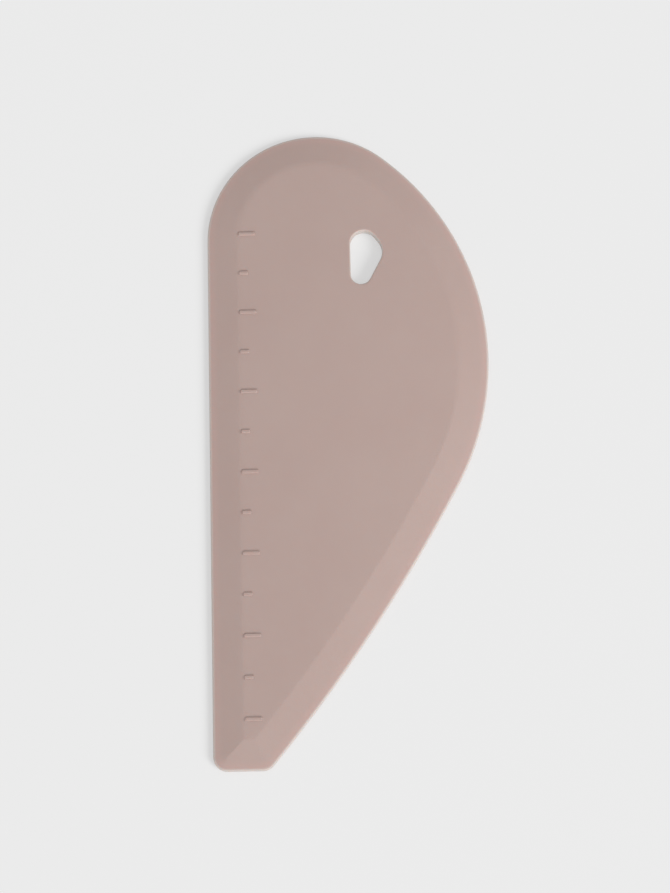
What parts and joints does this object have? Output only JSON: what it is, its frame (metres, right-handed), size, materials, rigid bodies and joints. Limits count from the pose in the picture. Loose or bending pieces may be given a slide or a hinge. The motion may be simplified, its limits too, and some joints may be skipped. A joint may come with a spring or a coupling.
{
  "type": "dough scraper",
  "caption": "Flat drop-shaped silicone dough scraper with a straight edge, a rounded bowl edge, a thin bevelled rim, a raised measuring scale and a hanging hole, stiffened by a hidden core.",
  "frame": {"origin": "on the flat back face, at the middle of the outline's length and width", "axes": "+Y along the straight edge towards the round crown, +X from the straight edge to the belly, +Z out of the front face"},
  "size_m": [0.0872, 0.2, 0.0041],
  "materials": {
    "silicone": "matte moulded silicone, dusty rose beige",
    "nylon": "natural moulded nylon sheet"
  },
  "bodies": {
    "root": {"front_skin": "silicone", "core_plate": "nylon", "back_skin": "silicone"}
  },
  "joints": []
}
